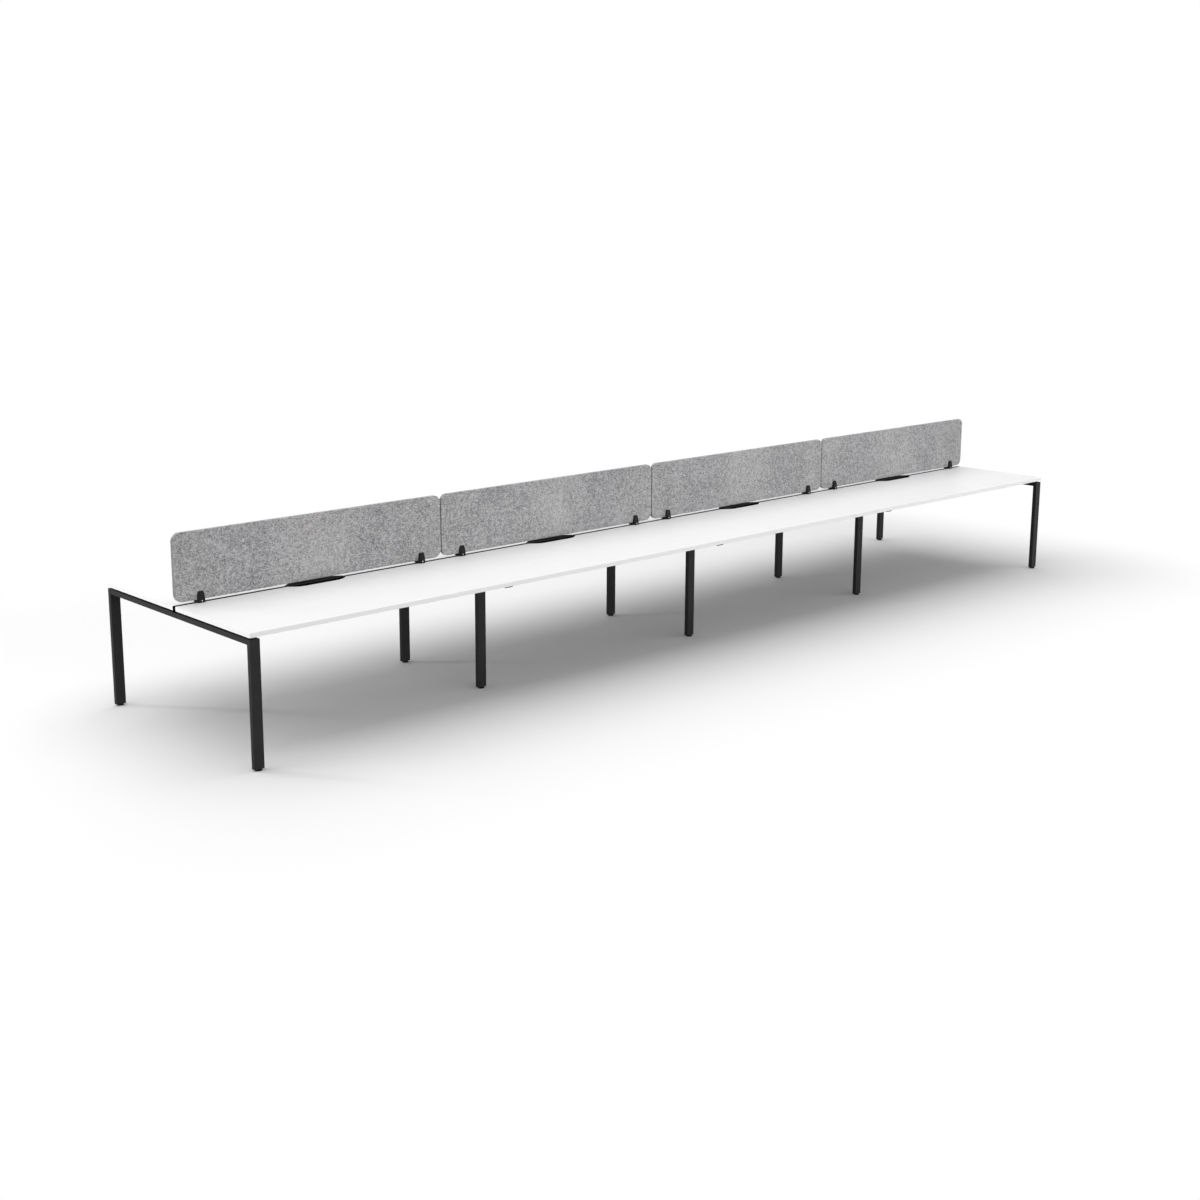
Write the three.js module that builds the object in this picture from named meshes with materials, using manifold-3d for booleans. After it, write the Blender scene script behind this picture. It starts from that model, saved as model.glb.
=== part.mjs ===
// Double-sided bench desk: two rows of floating worktops on tube frames, with felt screens between the rows.
// Millimetres, +Z up. X runs along the bench, Y across it, and the origin is on the floor at its middle.
import * as THREE from 'three';
import { mergeVertices } from 'three/addons/utils/BufferGeometryUtils.js';
import Module from 'manifold-3d';

const wasm = await Module();
wasm.setup();

// Bench layout
const BAY_COUNT = 4;
const BAY_LENGTH = 1800;
const ROW_GAP = 30;
const SEAT = 0.3; // fit-up clearance between pieces that bear on each other

// Worktops
const TOP_HEIGHT = 730;
const TOP_THICKNESS = 25;
const TOP_DEPTH = 750;
const TOP_JOINT = 0.5; // hairline between neighbouring tops of a row
const SCALLOP_REAR_WIDTH = 400;
const SCALLOP_FRONT_WIDTH = 280;
const SCALLOP_DEPTH = 45;
const SCALLOP_RADIUS = 30;

// Frames of rectangular tube, wide side along the bench
const TUBE_WIDTH = 60;
const TUBE_DEPTH = 30;
const TUBE_WALL = 2;
const TUBE_CORNER = 3;
const SHADOW_GAP = 10; // from the frame's top to the underside of the worktops
const MID_LEG_INSET = 370; // from the worktops' front edge to the face of a middle leg
const MID_BEAM_SETBACK = 122; // from the worktops' front edge to the end of a middle beam
const BEAM_CAP = 3;
const SPACER_DIAMETER = 36;
const SPACER_INSET = 150; // from a worktop's front or rear edge to the spacer under it

// Levelling feet and the threaded plate that closes each leg
const FOOT_DIAMETER = 40;
const FOOT_HEIGHT = 10;
const FOOT_EDGE = 2;
const STUD_DIAMETER = 10;
const STUD_LENGTH = 48;
const LEG_PLATE = 12;

// Longitudinal rails under the worktops, bolted to the beams
const RAIL_HEIGHT = 40;
const RAIL_WIDTH = 30;
const RAIL_WALL = 2;
const END_PLATE_WIDTH = 96;
const END_PLATE_THICKNESS = 4;
const BOLT_HOLE_DIAMETER = 9;
const BOLT_SPACING = 64;

// Centre spine in the gap between the rows
const SPINE_BAYS = 2; // bays that one length of spine covers
const SPINE_CLEARANCE = 1;
const SPINE_RECESS = 1; // below the worktops' surface
const SPINE_WALL = 2;

// Cable trays of folded sheet
const TRAY_LENGTH = 1440;
const TRAY_WIDTH = 240;
const TRAY_DEPTH = 80;
const TRAY_FLANGE = 28;
const TRAY_SHEET = 2;
const TRAY_BEND = 4;
const TRAY_SLOT_COUNT = 6;
const TRAY_SLOT_PITCH = 220;
const TRAY_SLOT_LENGTH = 90;
const TRAY_SLOT_WIDTH = 12;

// Felt screens
const SCREEN_GAP = 6; // between the screens of neighbouring bays
const SCREEN_HEIGHT = 380;
const SCREEN_THICKNESS = 25;
const SCREEN_CORNER = 48;
const SCREEN_EDGE = 4; // fillet round the rim of the felt
const SCREEN_CLEARANCE = 16; // from the worktops up to the screen's lower edge

// Moulded screen brackets
const BRACKET_INSET = 152; // from the screen's end to the bracket's centre line
const BRACKET_HEIGHT = 63;
const BRACKET_BASE_WIDTH = 44;
const BRACKET_TIP_WIDTH = 32;
const BRACKET_DEPTH = 60;
const BRACKET_RIM = 4; // upright edge of the base before the jaws taper in
const BRACKET_CORNER = 8; // in plan
const JAW_TIP = 8; // thickness of a jaw at its tip
const JAW_ROUND = 3;
const TIP_CORNER = 4.5; // rounding of a jaw's upper corners
const JAW_FULLNESS = 0.6; // height of the jaw's fullest point, as a share of the bracket's height
const SIDE_FULLNESS = 0.7; // height of the fullest point of the bracket's sides, as a share of their height
const SIDE_TAPER = 1; // how far the sides draw in up to that point

// Derived levels and positions
const halfLength = BAY_COUNT * BAY_LENGTH / 2;
const halfDepth = TOP_DEPTH + ROW_GAP / 2;
const topUnderside = TOP_HEIGHT - TOP_THICKNESS;
const frameTop = topUnderside - SHADOW_GAP;
const beamUnderside = frameTop - TUBE_DEPTH;
const beamMiddle = frameTop - TUBE_DEPTH / 2;
const endLegY = halfDepth - TUBE_DEPTH / 2;
const midLegY = halfDepth - MID_LEG_INSET - TUBE_DEPTH / 2;
const railTop = topUnderside - SEAT;
const spineTop = TOP_HEIGHT - SPINE_RECESS;
const screenLength = BAY_LENGTH - SCREEN_GAP;

// Facets of curves, and how far a cutting body runs past the surfaces it cuts
const ARC_STEPS = 5;
const MOULD_STEPS = 4;
const EDGE_STEPS = 3;
const CORNER_STEPS = 2;
const HOLE_SIDES = 8;
const ROUND_SIDES = 16;
const OVERCUT = 40;

const ROWS = [{ name: 'front', side: -1 }, { name: 'back', side: 1 }];
const ENDS = [{ name: 'left', side: -1 }, { name: 'right', side: 1 }];

// Finishes
const finish = (color, roughness, metalness = 0) => () =>
  new THREE.MeshStandardMaterial({ color, roughness, metalness });
const whiteLaminate = finish(0xf3f3f1, 0.45);
const graphitePaint = finish(0x3b3c3e, 0.5, 0.3);
const blackPaint = finish(0x191a1b, 0.55, 0.2);
const blackPlastic = finish(0x202021, 0.5);
const greyFelt = finish(0x9c9c9c, 0.95);

// Solids: closed meshes that can be joined and cut
function solid(geometry) {
  const bare = geometry.clone();
  bare.deleteAttribute('normal');
  bare.deleteAttribute('uv');
  const merged = mergeVertices(bare);
  return new wasm.Manifold(new wasm.Mesh({
    numProp: 3,
    vertProperties: new Float32Array(merged.attributes.position.array),
    triVerts: new Uint32Array(merged.index.array),
  }));
}

function geometryOf(body) {
  const { vertProperties, triVerts } = body.getMesh();
  const geometry = new THREE.BufferGeometry();
  geometry.setAttribute('position', new THREE.BufferAttribute(vertProperties, 3));
  geometry.setIndex(new THREE.BufferAttribute(triVerts, 1));
  geometry.computeVertexNormals();
  return geometry;
}

const join = (bodies) => bodies.reduce((whole, body) => whole.add(body));
const cut = (body, tools) => tools.reduce((rest, tool) => rest.subtract(tool), body);

function piece(name, geometry, material) {
  const mesh = new THREE.Mesh(geometry, material());
  mesh.name = name;
  return mesh;
}

const extrude = (shape, depth, curveSegments = ARC_STEPS) =>
  new THREE.ExtrudeGeometry(shape, { depth, curveSegments, bevelEnabled: false });

const block = (x, y, z) => new THREE.BoxGeometry(x, y, z);

// A round bar along Z, centred on the origin
const bar = (diameter, length, sides) =>
  new THREE.CylinderGeometry(diameter / 2, diameter / 2, length, sides).rotateX(Math.PI / 2);

// Points of an arc about a centre, from one angle to another
const arc = (x, y, radius, from, to, steps) => Array.from({ length: steps + 1 }, (_, i) => {
  const angle = from + (to - from) * i / steps;
  return new THREE.Vector2(x + radius * Math.cos(angle), y + radius * Math.sin(angle));
});

// Points of a rectangle with rounded corners, centred on the origin
function roundedRectangle(width, height, radius, steps) {
  const x = width / 2 - radius;
  const y = height / 2 - radius;
  const corners = [[x, y], [-x, y], [-x, -y], [x, -y]];
  return corners.flatMap(([cx, cy], i) => arc(cx, cy, radius, i * Math.PI / 2, (i + 1) * Math.PI / 2, steps));
}

// Points of a slot with round ends, along X
function roundEndedSlot(length, width, steps) {
  const radius = width / 2;
  const x = length / 2 - radius;
  return [
    ...arc(x, 0, radius, -Math.PI / 2, Math.PI / 2, steps),
    ...arc(-x, 0, radius, Math.PI / 2, 1.5 * Math.PI, steps),
  ];
}

// How far the end of a tube slants: not at all
const square = () => 0;

// Rectangular tube along +Z from the origin. A slanted end has each of its points moved along Z by what
// the slant gives for the point's Y.
function tube(width, depth, wall, corner, length, slantStart = square, slantEnd = square) {
  const outside = extrude(new THREE.Shape(roundedRectangle(width, depth, corner, CORNER_STEPS)), length);
  const points = outside.attributes.position;
  for (let i = 0; i < points.count; i += 1) {
    const slant = points.getZ(i) > length / 2 ? slantEnd : slantStart;
    points.setZ(i, points.getZ(i) + slant(points.getY(i)));
  }
  const inside = block(width - 2 * wall, depth - 2 * wall, length + 2 * OVERCUT).translate(0, 0, length / 2);
  return geometryOf(cut(solid(outside), [solid(inside)]));
}

// Worktop: a board with a scalloped cable opening in the middle of its rear edge, which faces +Y
function worktopGeometry() {
  const halfBoard = (BAY_LENGTH - TOP_JOINT) / 2;
  const rear = TOP_DEPTH / 2;
  const scallopFloor = rear - SCALLOP_DEPTH;
  const rearHalf = SCALLOP_REAR_WIDTH / 2;
  const frontHalf = SCALLOP_FRONT_WIDTH / 2;
  const flank = new THREE.Vector2(rearHalf - frontHalf, SCALLOP_DEPTH).normalize();
  const start = SCALLOP_RADIUS;
  const board = new THREE.Shape();
  board.moveTo(-halfBoard, -rear);
  board.lineTo(halfBoard, -rear);
  board.lineTo(halfBoard, rear);
  board.lineTo(rearHalf, rear);
  board.lineTo(frontHalf + flank.x * start, scallopFloor + flank.y * start);
  board.quadraticCurveTo(frontHalf, scallopFloor, frontHalf - start, scallopFloor);
  board.lineTo(start - frontHalf, scallopFloor);
  board.quadraticCurveTo(-frontHalf, scallopFloor,
    -frontHalf - flank.x * start, scallopFloor + flank.y * start);
  board.lineTo(-rearHalf, rear);
  board.lineTo(-halfBoard, rear);
  board.closePath();
  return extrude(board, TOP_THICKNESS);
}

// Leg: open tube closed at the floor by a plate that takes the foot's stud
function legGeometry(length, mitred) {
  const slant = mitred ? (y) => -y - TUBE_DEPTH / 2 : square;
  const shaft = tube(TUBE_WIDTH, TUBE_DEPTH, TUBE_WALL, TUBE_CORNER, length, square, slant);
  const plate = block(TUBE_WIDTH - TUBE_WALL, TUBE_DEPTH - TUBE_WALL, LEG_PLATE)
    .translate(0, 0, LEG_PLATE / 2);
  const bore = bar(STUD_DIAMETER + 2 * SEAT, LEG_PLATE + 2 * OVERCUT, ROUND_SIDES);
  return geometryOf(cut(join([solid(shaft), solid(plate)]), [solid(bore)]));
}

// Levelling foot: domed disc turned in one piece with its stud, standing on Z = 0
function footGeometry() {
  const rim = FOOT_DIAMETER / 2;
  const stud = STUD_DIAMETER / 2;
  const profile = [
    [0, 0],
    [rim - FOOT_EDGE, 0],
    [rim, FOOT_EDGE],
    [rim, FOOT_HEIGHT - 2 * FOOT_EDGE],
    [rim - FOOT_EDGE, FOOT_HEIGHT - FOOT_EDGE],
    [stud + FOOT_EDGE, FOOT_HEIGHT - SEAT],
    [stud, FOOT_HEIGHT - SEAT],
    [stud, FOOT_HEIGHT + STUD_LENGTH],
    [0, FOOT_HEIGHT + STUD_LENGTH],
  ];
  const turned = new THREE.LatheGeometry(profile.map(([r, z]) => new THREE.Vector2(r, z)), ROUND_SIDES);
  return turned.rotateX(Math.PI / 2);
}

const boltPlaces = [-1, 1].flatMap((row) => [-1, 1].map((end) => row * midLegY + end * BOLT_SPACING / 2));

// Cross beam along Y, centred on the origin, with spacers on top and holes for the rails' bolts, which pass
// through both walls of a middle beam, but only through the wall on the +X side of an end beam
function beamGeometry(length, mitred) {
  const slantStart = mitred ? (y) => y + TUBE_DEPTH / 2 + SEAT : square;
  const slantEnd = mitred ? (y) => -y - TUBE_DEPTH / 2 - SEAT : square;
  const shaft = tube(TUBE_WIDTH, TUBE_DEPTH, TUBE_WALL, TUBE_CORNER, length, slantStart, slantEnd)
    .translate(0, 0, -length / 2).rotateX(-Math.PI / 2);
  const spacerHeight = SHADOW_GAP - SEAT;
  const spacerPlaces = [ROW_GAP / 2 + SPACER_INSET, halfDepth - SPACER_INSET].flatMap((y) => [-y, y]);
  const spacers = spacerPlaces.map((y) => solid(bar(SPACER_DIAMETER, spacerHeight + TUBE_WALL, ROUND_SIDES)
    .translate(0, y, TUBE_DEPTH / 2 + (spacerHeight - TUBE_WALL) / 2)));
  const caps = mitred ? [] : [-1, 1].map((end) => solid(
    block(TUBE_WIDTH - TUBE_WALL, BEAM_CAP, TUBE_DEPTH - TUBE_WALL)
      .translate(0, end * (length - BEAM_CAP) / 2, 0)));
  const boltReach = TUBE_WIDTH + 2 * OVERCUT;
  const boltMiddle = mitred ? boltReach / 2 : 0;
  const holes = boltPlaces.map((y) => solid(bar(BOLT_HOLE_DIAMETER, boltReach, HOLE_SIDES)
    .rotateY(Math.PI / 2).translate(boltMiddle, y, 0)));
  return geometryOf(cut(join([solid(shaft), ...spacers, ...caps]), holes));
}

// Rail along X, centred on the origin: tube through a flat plate at each end, bolted to the beams
function railGeometry(length) {
  const box = tube(RAIL_HEIGHT, RAIL_WIDTH, RAIL_WALL, TUBE_CORNER, length).translate(0, 0, -length / 2)
    .rotateY(Math.PI / 2);
  const plateZ = beamMiddle - (railTop - RAIL_HEIGHT / 2);
  const plates = [-1, 1].map((end) => solid(
    block(END_PLATE_THICKNESS, END_PLATE_WIDTH, TUBE_DEPTH - 2 * TUBE_CORNER)
      .translate(end * (length - END_PLATE_THICKNESS) / 2, 0, plateZ)));
  const reach = length + 2 * OVERCUT;
  const bore = solid(block(reach, RAIL_WIDTH - 2 * RAIL_WALL, RAIL_HEIGHT - 2 * RAIL_WALL));
  const holes = [-1, 1].map((side) => solid(bar(BOLT_HOLE_DIAMETER, reach, HOLE_SIDES)
    .rotateY(Math.PI / 2).translate(0, side * BOLT_SPACING / 2, plateZ)));
  return geometryOf(cut(join([solid(box), ...plates]), [bore, ...holes]));
}

// Spine: rectangular tube along X, centred in length and width, with its lower face on Z = 0
function spineGeometry(length) {
  const width = ROW_GAP - 2 * SPINE_CLEARANCE;
  const height = spineTop - frameTop - SEAT;
  return tube(height, width, SPINE_WALL, SPINE_WALL, length).translate(-height / 2, 0, -length / 2)
    .rotateY(Math.PI / 2);
}

// Right half of one face of the tray's folded sheet, from the flange's free edge to the base; the inner face
// lies one sheet above the outer one
function trayHalf(sheet) {
  const wall = TRAY_WIDTH / 2 - sheet;
  const lip = sheet - TRAY_SHEET;
  const base = sheet - TRAY_DEPTH;
  const lipRadius = TRAY_BEND + sheet;
  const baseRadius = TRAY_BEND + TRAY_SHEET - sheet;
  return [
    new THREE.Vector2(TRAY_WIDTH / 2 + TRAY_FLANGE, lip),
    ...arc(wall + lipRadius, lip - lipRadius, lipRadius, Math.PI / 2, Math.PI, CORNER_STEPS),
    ...arc(wall - baseRadius, base + baseRadius, baseRadius, 0, -Math.PI / 2, CORNER_STEPS),
  ];
}

// One face of the sheet from flange to flange
function trayFace(sheet) {
  const half = trayHalf(sheet);
  const mirrored = half.map(({ x, y }) => new THREE.Vector2(-x, y)).reverse();
  return [...half, ...mirrored];
}

// Cable tray along X with its flanges at Z = 0, open above and at both ends, with slots for cable ties
function trayGeometry() {
  const section = new THREE.Shape([...trayFace(0), ...trayFace(TRAY_SHEET).reverse()]);
  const channel = extrude(section, TRAY_LENGTH).translate(0, 0, -TRAY_LENGTH / 2)
    .rotateX(Math.PI / 2).rotateZ(Math.PI / 2);
  const slotShape = new THREE.Shape(roundEndedSlot(TRAY_SLOT_LENGTH, TRAY_SLOT_WIDTH, EDGE_STEPS));
  const slots = Array.from({ length: TRAY_SLOT_COUNT }, (_, i) => {
    const x = (i - (TRAY_SLOT_COUNT - 1) / 2) * TRAY_SLOT_PITCH;
    return solid(extrude(slotShape, 2 * OVERCUT).translate(x, 0, -TRAY_DEPTH - OVERCUT));
  });
  return geometryOf(cut(solid(channel), slots));
}

// Screen: upright felt panel along X, centred in length and thickness, with its lower edge on Z = 0
function screenGeometry() {
  const flat = SCREEN_THICKNESS - 2 * SCREEN_EDGE;
  const outline = roundedRectangle(screenLength - 2 * SCREEN_EDGE, SCREEN_HEIGHT - 2 * SCREEN_EDGE,
    SCREEN_CORNER - SCREEN_EDGE, ARC_STEPS);
  const panel = new THREE.ExtrudeGeometry(new THREE.Shape(outline), {
    depth: flat,
    bevelThickness: SCREEN_EDGE,
    bevelSize: SCREEN_EDGE,
    bevelSegments: EDGE_STEPS,
  });
  return panel.translate(0, 0, -flat / 2).rotateX(Math.PI / 2).translate(0, 0, SCREEN_HEIGHT / 2);
}

// Bracket section across the bench: key in the gap, saddle on both tops, and a jaw on each side of the screen
function bracketSection() {
  const slot = SCREEN_THICKNESS / 2 + SEAT;
  const key = ROW_GAP / 2 - SPINE_CLEARANCE;
  const keyFoot = SEAT - SPINE_RECESS;
  const base = BRACKET_DEPTH / 2;
  const saddle = SCREEN_CLEARANCE - SEAT;
  const tip = slot + JAW_TIP;
  const bulge = BRACKET_HEIGHT * JAW_FULLNESS;
  const section = new THREE.Shape();
  section.moveTo(-key, keyFoot);
  section.lineTo(key, keyFoot);
  section.lineTo(key, SEAT);
  section.lineTo(base, SEAT);
  section.lineTo(base, BRACKET_RIM);
  section.quadraticCurveTo((base + tip) / 2 + JAW_ROUND, bulge, tip, BRACKET_HEIGHT - JAW_ROUND);
  section.lineTo(tip - JAW_ROUND, BRACKET_HEIGHT);
  section.lineTo(slot, BRACKET_HEIGHT);
  section.lineTo(slot, saddle);
  section.lineTo(-slot, saddle);
  section.lineTo(-slot, BRACKET_HEIGHT);
  section.lineTo(JAW_ROUND - tip, BRACKET_HEIGHT);
  section.lineTo(-tip, BRACKET_HEIGHT - JAW_ROUND);
  section.quadraticCurveTo(-(base + tip) / 2 - JAW_ROUND, bulge, -base, BRACKET_RIM);
  section.lineTo(-base, SEAT);
  section.lineTo(-key, SEAT);
  section.closePath();
  return section;
}

// Bracket face along the bench: sides that bulge and taper to a rounded tip
function bracketFace() {
  const base = BRACKET_BASE_WIDTH / 2;
  const tip = BRACKET_TIP_WIDTH / 2;
  const foot = -OVERCUT;
  const shoulder = BRACKET_HEIGHT - TIP_CORNER;
  const fullest = shoulder * SIDE_FULLNESS;
  const face = new THREE.Shape();
  face.moveTo(-base, foot);
  face.lineTo(base, foot);
  face.lineTo(base, BRACKET_RIM);
  face.quadraticCurveTo(base - SIDE_TAPER, fullest, tip, shoulder);
  face.quadraticCurveTo(tip, BRACKET_HEIGHT, tip - TIP_CORNER, BRACKET_HEIGHT);
  face.lineTo(TIP_CORNER - tip, BRACKET_HEIGHT);
  face.quadraticCurveTo(-tip, BRACKET_HEIGHT, -tip, shoulder);
  face.quadraticCurveTo(SIDE_TAPER - base, fullest, -base, BRACKET_RIM);
  face.closePath();
  return face;
}

// Bracket: where its section, its face and its rounded plan meet; Z = 0 is the worktops' surface
function bracketGeometry() {
  const length = BRACKET_BASE_WIDTH + 2 * OVERCUT;
  const depth = BRACKET_DEPTH + 2 * OVERCUT;
  const height = BRACKET_HEIGHT + 2 * OVERCUT;
  const outline = roundedRectangle(BRACKET_BASE_WIDTH, BRACKET_DEPTH, BRACKET_CORNER, CORNER_STEPS);
  const across = extrude(bracketSection(), length, MOULD_STEPS).translate(0, 0, -length / 2)
    .rotateX(Math.PI / 2).rotateZ(Math.PI / 2);
  const along = extrude(bracketFace(), depth, MOULD_STEPS).translate(0, 0, -depth / 2).rotateX(Math.PI / 2);
  const plan = extrude(new THREE.Shape(outline), height).translate(0, 0, -OVERCUT);
  return geometryOf(solid(across).intersect(solid(along)).intersect(solid(plan)));
}

// One leg with its foot, on the given side of a frame
function addLeg(frame, label, row, y, length, mitred) {
  const leg = piece(`${label}_${row.name}_leg`, legGeometry(length, mitred), graphitePaint);
  leg.position.set(0, row.side * y, FOOT_HEIGHT);
  leg.rotation.z = row.side > 0 ? Math.PI : 0;
  const foot = piece(`${label}_${row.name}_foot`, footGeometry(), blackPlastic);
  foot.position.set(0, row.side * y, 0);
  frame.add(leg, foot);
}

// End frame: a mitred goalpost flush with the worktops' ends and front edges
function endFrame(end) {
  const frame = new THREE.Group();
  const label = `${end.name}_end`;
  const beam = piece(`${label}_beam`, beamGeometry(2 * halfDepth, true), graphitePaint);
  beam.position.z = beamMiddle;
  beam.rotation.z = end.side > 0 ? Math.PI : 0;
  frame.add(beam);
  ROWS.forEach((row) => addLeg(frame, label, row, endLegY, frameTop - FOOT_HEIGHT, true));
  frame.position.x = end.side * (halfLength - TUBE_WIDTH / 2);
  return frame;
}

// Middle frame: legs set back from the front edges, under a beam that runs on as a cantilever
function middleFrame(number) {
  const frame = new THREE.Group();
  const label = `middle_${number}`;
  const beam = piece(`${label}_beam`, beamGeometry(2 * (halfDepth - MID_BEAM_SETBACK), false), graphitePaint);
  beam.position.z = beamMiddle;
  frame.add(beam);
  const length = beamUnderside - SEAT - FOOT_HEIGHT;
  ROWS.forEach((row) => addLeg(frame, label, row, midLegY, length, false));
  frame.position.x = number * BAY_LENGTH - halfLength;
  return frame;
}

// One bay: a worktop and a rail for each row, the tray under the gap, and the screen on its two brackets
function bay(number) {
  const group = new THREE.Group();
  const centre = (number - 0.5) * BAY_LENGTH - halfLength;
  const leftFace = TUBE_WIDTH / (number === 1 ? 1 : 2) + SEAT;
  const rightFace = TUBE_WIDTH / (number === BAY_COUNT ? 1 : 2) + SEAT;
  const railLength = BAY_LENGTH - leftFace - rightFace;
  ROWS.forEach((row) => {
    const top = piece(`${row.name}_worktop_${number}`, worktopGeometry(), whiteLaminate);
    top.position.set(0, row.side * (ROW_GAP + TOP_DEPTH) / 2, topUnderside);
    top.rotation.z = row.side > 0 ? Math.PI : 0;
    const rail = piece(`${row.name}_rail_${number}`, railGeometry(railLength), graphitePaint);
    rail.position.set((leftFace - rightFace) / 2, row.side * midLegY, railTop - RAIL_HEIGHT / 2);
    group.add(top, rail);
  });
  const tray = piece(`cable_tray_${number}`, trayGeometry(), blackPaint);
  tray.position.z = topUnderside - SEAT;
  const screen = piece(`screen_${number}`, screenGeometry(), greyFelt);
  screen.position.z = TOP_HEIGHT + SCREEN_CLEARANCE;
  group.add(tray, screen);
  ENDS.forEach((end) => {
    const bracket = piece(`screen_${number}_${end.name}_bracket`, bracketGeometry(), blackPlastic);
    bracket.position.set(end.side * (screenLength / 2 - BRACKET_INSET), 0, TOP_HEIGHT);
    group.add(bracket);
  });
  group.position.x = centre;
  return group;
}

// One length of the spine, seated on the beams
function spine(number) {
  const length = SPINE_BAYS * BAY_LENGTH - TOP_JOINT;
  const rail = piece(`spine_${number}`, spineGeometry(length), blackPaint);
  rail.position.set((number - 0.5) * SPINE_BAYS * BAY_LENGTH - halfLength, 0, frameTop + SEAT);
  return rail;
}

const bench = new THREE.Group();
bench.name = 'bench_desk';
ENDS.forEach((end) => bench.add(endFrame(end)));
for (let number = 1; number < BAY_COUNT; number += 1) bench.add(middleFrame(number));
for (let number = 1; number <= BAY_COUNT; number += 1) bench.add(bay(number));
for (let number = 1; number <= BAY_COUNT / SPINE_BAYS; number += 1) bench.add(spine(number));

export default bench;
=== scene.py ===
"""Double-sided bench desk: finishes, felt screens, brackets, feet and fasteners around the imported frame.

Metres, +Z up, X along the bench, Y across it, origin on the floor at the middle.
"""
import math

import bmesh
import bpy
from mathutils import Matrix, Vector


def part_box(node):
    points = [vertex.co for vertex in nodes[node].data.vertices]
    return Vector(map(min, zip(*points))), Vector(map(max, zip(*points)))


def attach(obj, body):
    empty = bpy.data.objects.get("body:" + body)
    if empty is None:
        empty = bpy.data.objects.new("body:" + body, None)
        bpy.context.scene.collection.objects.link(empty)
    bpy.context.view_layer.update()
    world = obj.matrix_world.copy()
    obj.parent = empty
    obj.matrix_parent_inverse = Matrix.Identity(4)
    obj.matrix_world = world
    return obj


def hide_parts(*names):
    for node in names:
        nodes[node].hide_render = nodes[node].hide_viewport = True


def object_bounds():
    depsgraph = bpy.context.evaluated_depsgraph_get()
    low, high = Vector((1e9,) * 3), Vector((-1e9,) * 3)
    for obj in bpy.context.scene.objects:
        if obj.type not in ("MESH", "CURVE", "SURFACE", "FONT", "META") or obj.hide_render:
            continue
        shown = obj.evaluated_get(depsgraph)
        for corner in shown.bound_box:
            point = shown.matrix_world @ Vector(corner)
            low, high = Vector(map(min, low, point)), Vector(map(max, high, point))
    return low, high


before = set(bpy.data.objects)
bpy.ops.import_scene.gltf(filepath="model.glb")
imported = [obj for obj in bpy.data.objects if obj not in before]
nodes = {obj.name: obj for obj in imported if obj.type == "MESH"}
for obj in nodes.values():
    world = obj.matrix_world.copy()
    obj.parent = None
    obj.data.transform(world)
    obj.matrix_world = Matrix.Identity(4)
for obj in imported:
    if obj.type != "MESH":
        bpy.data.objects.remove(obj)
cad_low, cad_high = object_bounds()
MM = 0.001
HEATHER_GREEN = 0.991  # green of the felt's greys, as a share of a neutral grey's


def grey(value, warmth=0.0):
    """A grey, a little warmer than neutral or, where the warmth is negative, cooler."""
    return (value * (1 + warmth), value, value * (1 - warmth), 1)


def heather(value, warmth=0.0):
    """A grey of the felt, with a little less green than a neutral one."""
    red, green, blue, alpha = grey(value, warmth)
    return (red, green * HEATHER_GREEN, blue, alpha)


# Layout, as in the frame
BAYS = (1, 2, 3, 4)
BAY_LENGTH = 1800 * MM
ROWS = (("front", -1), ("back", 1))
ENDS = ("left", "right")
FRAMES = ("left_end", "middle_1", "middle_2", "middle_3", "right_end")
MIDDLE_FRAMES = FRAMES[1:-1]

# Edges of the meshes
CREASE_ANGLE = math.radians(35)  # a made piece is smooth up to this angle
EASE_ANGLE = math.radians(40)  # a board's edges are rounded from this angle on
EASE_SEGMENTS = 2
WELD_DISTANCE = 0.01 * MM
FILLET_STEPS = 6

# Felt screens
SCREEN_CORNER = 48 * MM
SCREEN_EDGE = 4 * MM
SCREEN_CORNER_STEPS = 14

# Levelling feet
FOOT_HEIGHT = 10 * MM
FOOT_EDGE = 2 * MM
FOOT_LOWER_ROUND = ((2.0, 0.0), (1.0, 0.15), (0.3, 0.5), (0.0, 1.0))  # inset and rise, in FOOT_EDGE
FOOT_UPPER_ROUND = ((0.0, 2.0), (0.3, 1.4), (1.0, 1.0))  # inset and drop from FOOT_HEIGHT, in FOOT_EDGE
FOOT_SEAT = 0.3 * MM
STUD_RADIUS = 5 * MM
STUD_LEAD = 1.5  # how far the stud's tip draws in, in THREAD_DEPTH
THREAD_PITCH = 1.5 * MM
THREAD_DEPTH = 0.8 * MM
THREAD_STEPS = 4  # rings in one turn of the thread
TURNED_STEPS = 36

# Screen brackets, measured up from the worktops
BRACKET_FOOT = 0.3 * MM
BRACKET_RIM = 4 * MM
BRACKET_CORNER = 8 * MM
BRACKET_EDGE = 2.5 * MM  # rounding of the jaws' upright edges near the tip
JAW_WIDTHS = (22 * MM, 21 * MM, 16 * MM)  # half widths at the rim, at the fullest point and at the shoulder
JAW_FULLEST = 41 * MM
JAW_SHOULDER = 58.5 * MM
JAW_REACHES = (30 * MM, 28.4 * MM, 20.8 * MM)  # half depths at the rim, at the fullest point and at the tip
JAW_FULL_HEIGHT = 37.8 * MM
JAW_TIP = 60 * MM
SLOT_HALF = 12.8 * MM
SADDLE = 15.7 * MM
BRACKET_LEVELS = 26

# Heads of screws and bolts
HEAD_STEPS = 24
HEAD_WALL = 0.25  # upright share of a head's height, below its dome
HEAD_DOME = (0.3, 0.6, 0.85, 1.0)  # shares of the dome's quarter turn
SOCKET_RIM = 1.35  # radius of the flat round a socket, as a multiple of the socket's apothem

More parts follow.
